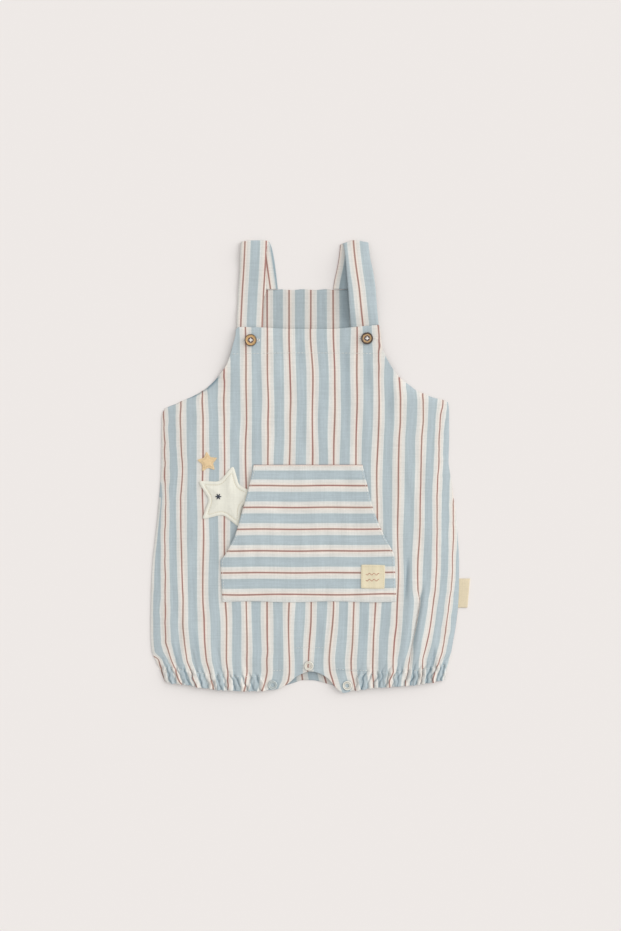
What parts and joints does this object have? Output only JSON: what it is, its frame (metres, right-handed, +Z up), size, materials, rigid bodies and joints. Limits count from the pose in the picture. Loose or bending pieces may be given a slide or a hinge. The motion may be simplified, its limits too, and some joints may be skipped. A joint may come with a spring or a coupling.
{
  "type": "baby dungaree romper (jumpsuit)",
  "caption": "Baby's short bib romper laid flat, front up: striped cotton, folded shoulder straps, kangaroo pocket, buttoned bib, gathered legs and snap crotch.",
  "frame": {"origin": "on the surface that the garment lies on, under the middle of its bounding box", "axes": "+X towards the viewer's right with the front up, +Y from the legs to the bib and the straps, +Z up from the surface"},
  "size_m": [0.3204, 0.4518, 0.0083],
  "materials": {
    "striped_cloth": "matt striped cotton chambray",
    "cream_cloth": "matt padded cotton",
    "tan_cloth": "matt cotton",
    "label_tape": "matt cotton tape",
    "horn_button": "mottled, softly glossy",
    "snap_metal": "satin off-white enamel"
  },
  "bodies": {
    "root": {"back_panel": "striped_cloth", "front_panel": "striped_cloth", "back_left_leg_hem": "striped_cloth", "back_right_leg_hem": "striped_cloth", "front_left_leg_hem": "striped_cloth", "front_right_leg_hem": "striped_cloth", "pocket": "striped_cloth", "left_strap": "striped_cloth", "right_strap": "striped_cloth", "star_applique": "cream_cloth", "small_star_applique": "tan_cloth", "pocket_patch": "label_tape", "side_label": "label_tape", "left_button": "horn_button", "right_button": "horn_button", "left_snap": "snap_metal", "middle_snap": "snap_metal", "right_snap": "snap_metal"}
  },
  "joints": []
}
